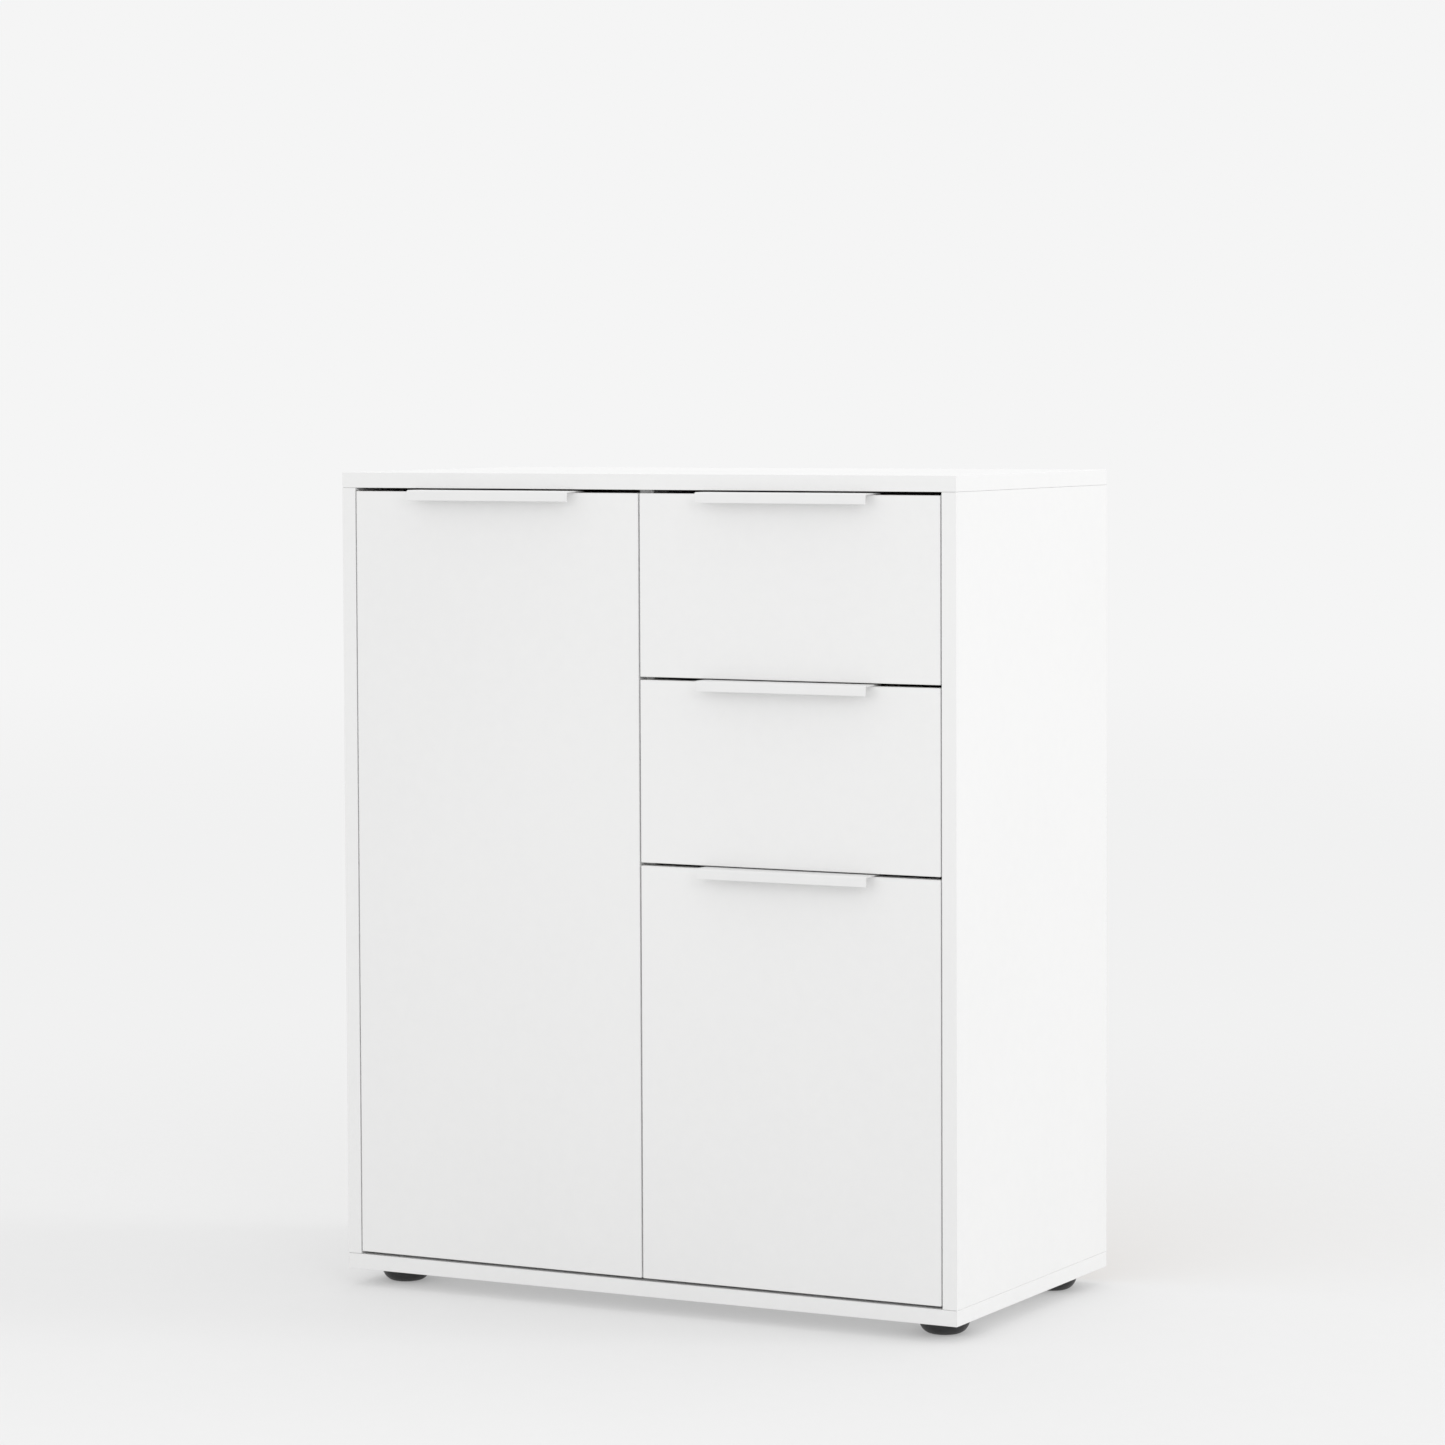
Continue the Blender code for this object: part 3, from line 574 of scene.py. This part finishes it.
def folded_strip(corners, radius, thickness, start, end, axis, ease=0.0004):
    """Ring i lies at a station along the axis. Its points are the centreline plus and minus the normal
    times half the thickness, which eases off at the strip's cut edges and at its two ends."""
    path = fold_path(corners, radius)
    legs = np.linalg.norm(np.diff(path, axis=0), axis=1)
    along = np.concatenate([[0], np.cumsum(legs)])
    extra = np.array([0.3 * ease, ease, along[-1] - ease, along[-1] - 0.3 * ease])
    every = np.sort(np.concatenate([along, extra]))
    path = np.stack([np.interp(every, along, path[:, k]) for k in range(2)], -1)
    run = np.gradient(path, axis=0)
    run /= np.linalg.norm(run, axis=1)[:, None]
    normal = np.stack([-run[:, 1], run[:, 0]], -1)
    rim = eased(np.minimum(every, every[-1] - every), ease)
    stations = np.array([start, start + 0.3 * ease, start + ease, end - ease, end - 0.3 * ease, end])
    half = thickness / 2 * rim[None] * eased(np.minimum(stations - start, end - stations), ease)[:, None]
    sides = [path[None] + sign * half[..., None] * normal[None] for sign in (1, -1)]
    flat = np.concatenate([sides[0], sides[1][:, ::-1]], 1)
    rings = np.empty((*flat.shape[:2], 3))
    rings[..., [a for a in range(3) if a != axis]] = flat
    rings[..., axis] = stations[:, None]
    return shell(rings)


print("a fold of 6 steps turns", round(90 / 5), "degrees at a step")

# %% [markdown]
# ## Edge pulls
# Each pull is a 1.8 mm steel strip over the top edge of its front, powder coated white: a lip hangs in
# front to take the fingers, and a tail is screwed to the back. Powder coat flows into a satin skin
# with a fine orange peel, so its bump is finer and its sheen higher than the foil's.

# %% Powder coat and the four pulls
STRIP = 0.0018
FOLD = 0.0016


def powder_coat():
    finish = Finish("powder_coat", {"IOR": 1.5})
    peel = finish.noise(900.0, 2.0, 0.55)
    slow = finish.noise(35.0, 3.0)
    specks = finish.cells(2600.0).between(0.0, 0.5)
    finish.coat(finish.tint(slow.between(0.3, 0.75), (0.812, 0.812, 0.809), (0.796, 0.797, 0.796)),
                0.30 + 0.12 * peel + 0.05 * specks)
    finish.relief(0.7 * peel + 0.3 * specks, 0.00004)
    return finish


POWDER_COAT = powder_coat()
PULLS = {"left_door_pull": "left_door", "right_door_pull": "right_door",
         "upper_drawer_pull": "upper_drawer", "lower_drawer_pull": "lower_drawer"}
PULL_LIP = 0.012
for node, body in PULLS.items():
    low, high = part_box(node)
    nose, tail, over = low[Y] + STRIP / 2, high[Y] - STRIP / 2, high[Z] - STRIP / 2
    section = [(nose, high[Z] - PULL_LIP), (nose, over), (tail, over), (tail, low[Z])]
    strip = folded_strip(section, FOLD, STRIP, low[X], high[X], X)
    piece(node + "_strip", [strip], POWDER_COAT, body, [node])
print("pull:", [round(v * 1000, 1) for v in high - low], "mm")

# %% [markdown]
# ## Glides
# The glides are turned bowls of black polypropylene, pressed up into the bottom panel. The moulder's
# draft, a small shoulder below the rim and a flat worn base are what the eye picks out, so they are in
# the profile that is turned round each glide's axis.

# %% Black plastic and the four glides


def moulded_black():
    finish = Finish("moulded_black", {"IOR": 1.49})
    height = finish.axes()[Z]
    grain = finish.noise(1800.0, 3.0, 0.6)
    scuffs = finish.noise(1.0, 4.0, 0.7, finish.stretched(160.0, 160.0, 900.0))
    low_down = 1.0 - height.between(0.0005, 0.006)
    dusty = low_down * scuffs.between(0.45, 0.75)
    finish.coat(finish.tint(dusty * 0.6, (0.022, 0.022, 0.023), (0.12, 0.115, 0.11)),
                0.36 + 0.14 * grain + 0.25 * dusty)
    finish.relief(grain, 0.00004)
    return finish


MOULDED_BLACK = moulded_black()
RIM_HEIGHT = 0.0015
SHOULDER = 0.0006
BASE_RADIUS = 0.0145
for node in ("front_left_foot", "front_right_foot", "rear_left_foot", "rear_right_foot"):
    low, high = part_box(node)
    outer, top = (high[X] - low[X]) / 2, high[Z]
    turn = np.linspace(0, math.pi / 2, 14)
    bowl = np.stack([BASE_RADIUS + (outer - SHOULDER - BASE_RADIUS) * np.cos(turn),
                     (top - RIM_HEIGHT - 0.0004) * (1 - np.sin(turn))], -1)
    rim = [(0.0015, top), (outer - 0.0004, top), (outer - 0.0001, top - 0.0001), (outer, top - 0.0004),
           (outer, top - RIM_HEIGHT + 0.0002), (outer - 0.0001, top - RIM_HEIGHT),
           (outer - SHOULDER, top - RIM_HEIGHT - 0.0002)]
    profile = np.concatenate([rim, bowl, [(0.0015, 0.0)]])
    centre = ((low[X] + high[X]) / 2, (low[Y] + high[Y]) / 2, 0.0)
    glide = turned(profile, centre, steps=72)
    piece(node + "_glide", [glide], MOULDED_BLACK, "cabinet", [node])
print("glide:", round(outer * 2000, 1), "mm across,", round(top * 1000, 1), "mm high")

# %% [markdown]
# ## Plated steel
# Two platings are at work. Zinc on the slides is bluish grey and a little cloudy, with fine lines along
# the rolling direction. Nickel on the hinges is warmer and brighter, and picks up hairline scratches.
# Both are metal all over, so only the colour and the roughness move.

# %% Zinc and nickel


def plated(name, light, dark, gloss, lines):
    """Plating: clouds of tone, and fine lines from a noise stretched along one direction."""
    finish = Finish(name, {"Metallic": 1.0})
    clouds = finish.noise(90.0, 4.0, 0.6)
    drawn = finish.noise(1.0, 3.0, 0.6, finish.stretched(*lines))
    finish.coat(finish.tint((0.5 * clouds + 0.5 * drawn).between(0.35, 0.7), light, dark),
                gloss + 0.16 * clouds + 0.10 * drawn)
    finish.relief(drawn, 0.00001)
    return finish


ZINC = plated("zinc_plate", (0.66, 0.68, 0.71), (0.52, 0.54, 0.57), 0.22, (1400.0, 25.0, 1400.0))
NICKEL = plated("nickel_plate", (0.74, 0.72, 0.68), (0.60, 0.58, 0.55), 0.14, (900.0, 900.0, 60.0))
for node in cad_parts:
    if "_hinge_" in node:
        dress(node, NICKEL)
print("zinc for the slides, nickel for the hinges")

# %% [markdown]
# ## Drawer slides
# Each slide is two rolled channels with a strip of balls between them. They are folded strips as the
# pulls are, only with tighter bends, so the same function makes them from the CAD nodes' boxes, and
# long holes are then cut through their webs. The balls sit in the cage above and below, and travel
# with it at half the drawer's pace.

# %% Rails, cages and balls
SHEET = 0.0012
CAGE_SHEET = 0.0008
BALL_RADIUS = 0.0020
BALL_PITCH = 0.0095
BALL_MARGIN = 0.006        # from a cage's front end to its first ball
BALL_END = 0.005           # no ball nearer than this to its rear end
SLOT_RADIUS = 0.0024
SLOT_HALF = 0.0070         # half the length of a slot
RAIL_SLOTS = (0.064, 0.192, 0.256)     # from the rail's front end


def channel(node, sheet, open_to_plus):
    """A C-shaped strip that fills the node's box: two lips and a web, folded at right angles."""
    low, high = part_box(node)
    lips, web = (high[X], low[X] + sheet / 2) if open_to_plus else (low[X], high[X] - sheet / 2)
    bottom, top = low[Z] + sheet / 2, high[Z] - sheet / 2
    corners = [(lips, bottom), (web, bottom), (web, top), (lips, top)]
    return folded_strip(corners, sheet * 0.8, sheet, low[Y], high[Y], Y, ease=0.0003)


def slots(node):
    """Cutters for the long holes that let a rail be shifted before its screws are tightened. Each
    outline is a circle's points, pushed apart along the rail by SLOT_HALF - SLOT_RADIUS."""
    low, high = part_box(node)
    turn = (np.arange(24) + 0.5) * 2 * math.pi / 24
    along = np.sign(np.cos(turn)) * (SLOT_HALF - SLOT_RADIUS) + SLOT_RADIUS * np.cos(turn)
    ring = np.column_stack([np.zeros(24), along, SLOT_RADIUS * np.sin(turn)])
    middle = (low[Z] + high[Z]) / 2
    beside = (low[X] - 0.001, high[X] + 0.001)
    return [shell([ring + np.array((x, low[Y] + y, middle)) for x in beside]) for y in RAIL_SLOTS]


def ball(centre):
    """Rings of a sphere from one small cap to the other."""
    turn = np.linspace(0.25, math.pi - 0.25, 7)
    profile = np.stack([BALL_RADIUS * np.sin(turn), BALL_RADIUS * np.cos(turn)], -1)
    return turned(profile, centre, steps=10)


for drawer in DRAWERS:
    for hand in ("left", "right"):
        outward = hand == "left"
        stem = f"{drawer}_{hand}"
        rail, runner, cage = (f"{stem}_{part}" for part in ("cabinet_rail", "drawer_rail", "ball_cage"))
        for node, body, open_to_plus in ((rail, "cabinet", outward), (runner, drawer, not outward)):
            strip = carved(channel(node, SHEET, open_to_plus), slots(node))
            piece(node + "_channel", [strip], ZINC, body, [node])
        strip = channel(cage, CAGE_SHEET, outward)
        piece(cage + "_strip", [strip], ZINC, drawer + "_cages", [cage])
        (outer_low, outer_high), (inner_low, inner_high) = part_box(rail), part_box(runner)
        cage_low, cage_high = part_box(cage)
        x = (max(outer_low[X], inner_low[X]) + min(outer_high[X], inner_high[X])) / 2
        races = [(outer_low[Z] + SHEET + inner_low[Z]) / 2, (outer_high[Z] - SHEET + inner_high[Z]) / 2]
        stations = np.arange(cage_low[Y] + BALL_MARGIN, cage_high[Y] - BALL_END, BALL_PITCH)
        balls = [ball((x, y, z)) for z in races for y in stations]
        piece(f"{stem}_balls", balls, NICKEL, drawer + "_cages")
print("balls in a slide:", len(balls))

# %% [markdown]
# ## Screws
# A screw head is a low dome with a cross recess. The head is a polar grid: the ring says how far out a
# point is, the spoke says where it is round the head, and the recess is a dip wherever the point lies
# inside a cross. One function serves every screw on the cabinet.

# %% Screw heads
CUP_EAR = 0.0075           # the cup's screws: from its centre towards the door's middle
EAR_REACH = 0.0258         # and above and below it
WING_RISE = 0.0025         # the plate's screws: how far its wings stand off the panel
WING_REACH = 0.0165        # above and below the cup's centre
WING_BACK = 0.019          # behind the plate's front end
ARM_FACE = 0.0135          # the arm's two screws: their face, from the door's hinge edge
ARM_SCREWS = (0.043, 0.058)            # behind the door's back face


def screw(centre, axis, way, radius=0.0036, height=0.0011):
    """Ring r, spoke t: height is a dome h (1 - 0.55 (r / R)^2) less a dip of 0.7 h inside the cross,
    whose arms are 0.2 R wide at each side and 0.62 R long. The last rings go down the side to the base."""
    reach = np.array([0.03, 0.14, 0.19, 0.24, 0.40, 0.57, 0.64, 0.70, 0.85, 0.96, 1.0, 1.0])
    spoke = np.arange(48) * 2 * math.pi / 48
    u = reach[:, None] * np.cos(spoke)
    v = reach[:, None] * np.sin(spoke)
    arm = np.minimum(np.abs(u), np.abs(v))
    tip = np.maximum(np.abs(u), np.abs(v))
    inside = np.clip((0.20 - arm) / 0.06, 0, 1) * np.clip((0.62 - tip) / 0.06, 0, 1)
    rise = height * (1 - 0.55 * reach[:, None] ** 2) - 0.7 * height * inside
    rise[-2] = height * 0.35
    rise[-1] = 0.0
    rings = np.empty((*rise.shape, 3))
    first, second = [a for a in range(3) if a != axis]
    rings[..., first] = radius * u
    rings[..., second] = radius * v
    rings[..., axis] = way * rise
    return shell(rings + np.array(centre, float))


for door, hand in DOORS.items():
    inward = -hand
    door_low, door_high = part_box(door)
    on_door, on_cabinet = [], []
    for level, (x, y, z) in zip(("lower", "upper"), cup_places(door)):
        cup_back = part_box(f"{door}_{level}_hinge_cup")[1][Y]
        plate_low, plate_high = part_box(f"{door}_{level}_hinge_plate")
        ear = x + inward * CUP_EAR
        on_door += [screw((ear, cup_back, z + rise), Y, 1) for rise in (-EAR_REACH, EAR_REACH)]
        wing = (plate_low[X] if inward > 0 else plate_high[X]) + inward * WING_RISE
        wing_y = plate_low[Y] + WING_BACK
        on_cabinet += [screw((wing, wing_y, z + rise), X, inward) for rise in (-WING_REACH, WING_REACH)]
        face = ARM_FACE * inward + (door_low[X] if inward > 0 else door_high[X])
        on_cabinet += [screw((face, door_high[Y] + along, z), X, inward, 0.0032, 0.0010)
                       for along in ARM_SCREWS]
    piece(door + "_cup_screws", on_door, NICKEL, door)
    piece(door + "_plate_screws", on_cabinet, NICKEL, "cabinet")
print("screws on the last door:", len(on_door) + len(on_cabinet))

# %% [markdown]
# ## Screws in the rails
# Each rail is held by three screws through its web. In the cabinet rail the heads are nearly flat,
# because the ball cage slides past them; in the drawer rail there is room for a full head.

# %% Screws in the rails
RAIL_SCREWS = (0.032, 0.128, 0.320)    # from the rail's front end
FLAT_HEAD, FULL_HEAD = 0.0006, 0.0011
for drawer in DRAWERS:
    for hand, outward in (("left", 1), ("right", -1)):
        for part, body, way, rise in (("cabinet_rail", "cabinet", outward, FLAT_HEAD),
                                      ("drawer_rail", drawer, -outward, FULL_HEAD)):
            node = f"{drawer}_{hand}_{part}"
            low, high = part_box(node)
            web = low[X] + SHEET if way > 0 else high[X] - SHEET
            middle = (low[Z] + high[Z]) / 2
            heads = [screw((web, low[Y] + y, middle), X, way, height=rise) for y in RAIL_SCREWS]
            piece(node + "_screws", heads, NICKEL, body)
print("screws in a rail:", len(heads))

# %% [markdown]
# ## Shelf pins and cam caps
# Loose shelves rest on four nickel pins each. The boards are drawn together by cams in the uprights,
# and small white caps hide them. They are seen only with a door open, and they are what tells a real
# cabinet from a box.

# %% Shelf pins
PIN_REACH = 0.008
PIN = [(0.0004, 0.0), (0.0036, 0.0), (0.0036, 0.0009), (0.0033, 0.0012), (0.0025, 0.0013),
       (0.0025, PIN_REACH - 0.0005), (0.0020, PIN_REACH), (0.0004, PIN_REACH)]
SHELF_PLAY = 0.00095       # between a shelf's ends and the pins' collars
on_pins = []
for shelf in ("left_lower_shelf", "left_upper_shelf", "right_shelf"):
    low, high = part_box(shelf)
    for x, way in ((low[X] - SHELF_PLAY, 1), (high[X] + SHELF_PLAY, -1)):
        for y in (low[Y] + PIN_INSET, high[Y] - PIN_INSET):
            on_pins.append(turned(PIN, (x, y, low[Z] - PIN_DROP), X, way, 24))
piece("shelf_pins", on_pins, NICKEL, "cabinet")
print("shelf pins:", len(on_pins))

# %% Cam caps


def white_plastic():
    finish = Finish("white_plastic", {"IOR": 1.47})
    grain = finish.noise(1300.0, 2.0)
    slow = finish.noise(120.0, 2.0)
    finish.coat(finish.tint(slow, (0.82, 0.82, 0.80), (0.79, 0.79, 0.765)), 0.32 + 0.14 * grain)
    finish.relief(grain, 0.00002)
    return finish


WHITE_PLASTIC = white_plastic()
CAP = [(0.0004, 0.0009), (0.0060, 0.0009), (0.0079, 0.0007), (0.0084, 0.0003), (0.0085, 0.00005),
       (0.0004, 0.00005)]
CAP_INSET, CAP_RISE = 0.055, 0.034     # from the panel's front and rear edges, and from its ends
side_low, side_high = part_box("left_side_panel")
part_low, part_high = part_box("centre_partition")
faces = [(side_high[X], 1), (part_low[X], -1), (part_high[X], 1), (-side_high[X], -1)]
caps = [turned(CAP, (x, y, z), X, way, 40)
        for x, way in faces
        for y in (part_low[Y] + CAP_INSET, part_high[Y] - CAP_INSET)
        for z in (side_low[Z] + CAP_RISE, side_high[Z] - CAP_RISE)]
piece("cam_caps", caps, WHITE_PLASTIC, "cabinet")
print("cam caps:", len(caps))

# %% [markdown]
# ## Bumper pads
# Each door closes against small soft pads, stuck to its back where it meets the centre partition. They
# are turned buttons, a little thinner than the air between door and partition.

# %% Bumper pads on the doors
PAD = [(0.0004, -0.00005), (0.0032, -0.00005), (0.0033, 0.0002), (0.0029, 0.0006), (0.0018, 0.0008),
       (0.0004, 0.00085)]
PAD_INSET, PAD_RISE = 0.0042, 0.045    # from the partition's face, and from the door's ends
for door, hand in DOORS.items():
    low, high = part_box(door)
    x = (part_high if hand > 0 else part_low)[X] - hand * PAD_INSET
    pads = [turned(PAD, (x, high[Y], z), Y, 1, 28) for z in (low[Z] + PAD_RISE, high[Z] - PAD_RISE)]
    piece(door + "_bumpers", pads, WHITE_PLASTIC, door)
print("bumper pads:", len(DOORS) * len(pads))

# %% [markdown]
# ## The studio
# The cabinet stands on a pale seamless floor under soft, nearly even light: even surroundings, a wide
# ceiling light and a paper that glows faintly, as translucent paper does when it is lit from below. A
# key light from the right, a little behind the fronts, makes the right side a shade brighter than them
# and lays a faint shadow on the floor to the left. Small panels in front and at the right light the
# fronts themselves, so the pulls' shadows fall to their left. The floor thins out to nothing a few
# metres away, where the even surroundings show through, so that no horizon cuts the picture.

# %% Floor, surroundings and light
FLOOR_RADIUS = 16.0
FLOOR_POINTS = 96
PAPER_GLOW = 0.290
SURROUNDINGS = 0.913
angle = np.arange(FLOOR_POINTS) * 2 * math.pi / FLOOR_POINTS
ring = np.column_stack([np.cos(angle), np.sin(angle), np.zeros(FLOOR_POINTS)]) * FLOOR_RADIUS
floor_mesh = bpy.data.meshes.new("floor")
floor_mesh.from_pydata(ring.tolist(), [], [list(range(FLOOR_POINTS))])
floor = bpy.data.objects.new("floor", floor_mesh)
bpy.context.scene.collection.objects.link(floor)
seamless = Finish("seamless_paper", {"Roughness": 0.95, "Specular IOR Level": 0.0,
                                     "Emission Strength": PAPER_GLOW,
                                     "Emission Color": (1.0, 1.0, 1.0, 1.0)})
away = seamless.node("ShaderNodeVectorMath", {"operation": "LENGTH"}, {0: seamless.place}, "Value")
fibre = seamless.noise(30.0, 3.0)
seamless.coat(seamless.tint(fibre, (0.500, 0.500, 0.500), (0.508, 0.508, 0.508)))
thin_near, thin_far = away.between(0.6, 2.6) * 0.5, away.between(5.0, 13.0) * 0.5
seamless.feed(seamless.shader.inputs["Alpha"], 1.0 - thin_near - thin_far)
floor_mesh.materials.append(seamless.material)

scene = bpy.context.scene
scene.view_settings.view_transform = "Standard"
world = bpy.data.worlds.new("studio")
scene.world = world
world.use_nodes = True
backdrop = world.node_tree.nodes["Background"].inputs["Color"]
backdrop.default_value = (SURROUNDINGS, SURROUNDINGS, SURROUNDINGS, 1.0)


def lamp(name, kind, strength, towards, place=(0.0, 0.0, 0.0), **settings):
    """A lamp that shines from the direction towards, so its own Z axis points that way."""
    light = bpy.data.lights.new(name, kind)
    light.energy = strength
    for key, value in settings.items():
        setattr(light, key, value)
    item = bpy.data.objects.new(name, light)
    back = np.array(towards, float) / np.linalg.norm(towards)
    item.rotation_euler = (math.acos(back[2]), 0.0, math.atan2(back[0], -back[1]))
    item.location = place
    item.visible_camera = False
    scene.collection.objects.link(item)


lamp("key", "SUN", 0.37, (0.86, 0.34, 0.47), angle=math.radians(16))
lamp("ceiling", "SUN", 0.44, (0.05, 0.35, 1.0), angle=math.radians(80))
lamp("front_panel", "AREA", 2.2, (0.0, -1.0, 0.0), (0.10, -1.9, 1.08), size=0.8)
lamp("right_panel", "AREA", 8.4, (2.36, -2.36, 1.35), (2.36, -2.56, 2.05), size=1.1)
lamp("side_panel", "AREA", 5.0, (1.0, 0.0, 0.0), (2.6, 0.3, 1.9), size=1.2)

# %% [markdown]
# ## The camera
# A long lens stands far off to the right of the front, a little above the top, so the upright edges
# stay almost parallel.

# %% Camera
YAW, PITCH, ROLL = (math.radians(v) for v in (-28.127, 3.131, 0.228))
LENS = 118.77              # mm, on a 36 mm sensor
SHIFT = -0.0502
STAND = (2.6469, -4.9472, 1.0621)
forward = np.array([math.sin(YAW) * math.cos(PITCH), math.cos(YAW) * math.cos(PITCH), -math.sin(PITCH)])
level = np.array([math.cos(YAW), -math.sin(YAW), 0.0])
down = np.cross(forward, level)
right = math.cos(ROLL) * level + math.sin(ROLL) * down
below = -math.sin(ROLL) * level + math.cos(ROLL) * down
camera = bpy.data.objects.new("camera", bpy.data.cameras.new("camera"))
camera.data.lens = LENS
camera.data.sensor_width = 36.0
camera.data.shift_y = SHIFT
turn = np.eye(4)
turn[:3, :3] = np.column_stack([right, -below, -forward])
turn[:3, 3] = STAND
scene.collection.objects.link(camera)
camera.matrix_world = Matrix(turn.tolist())
scene.camera = camera
print("lens:", round(camera.data.lens, 1), "mm")
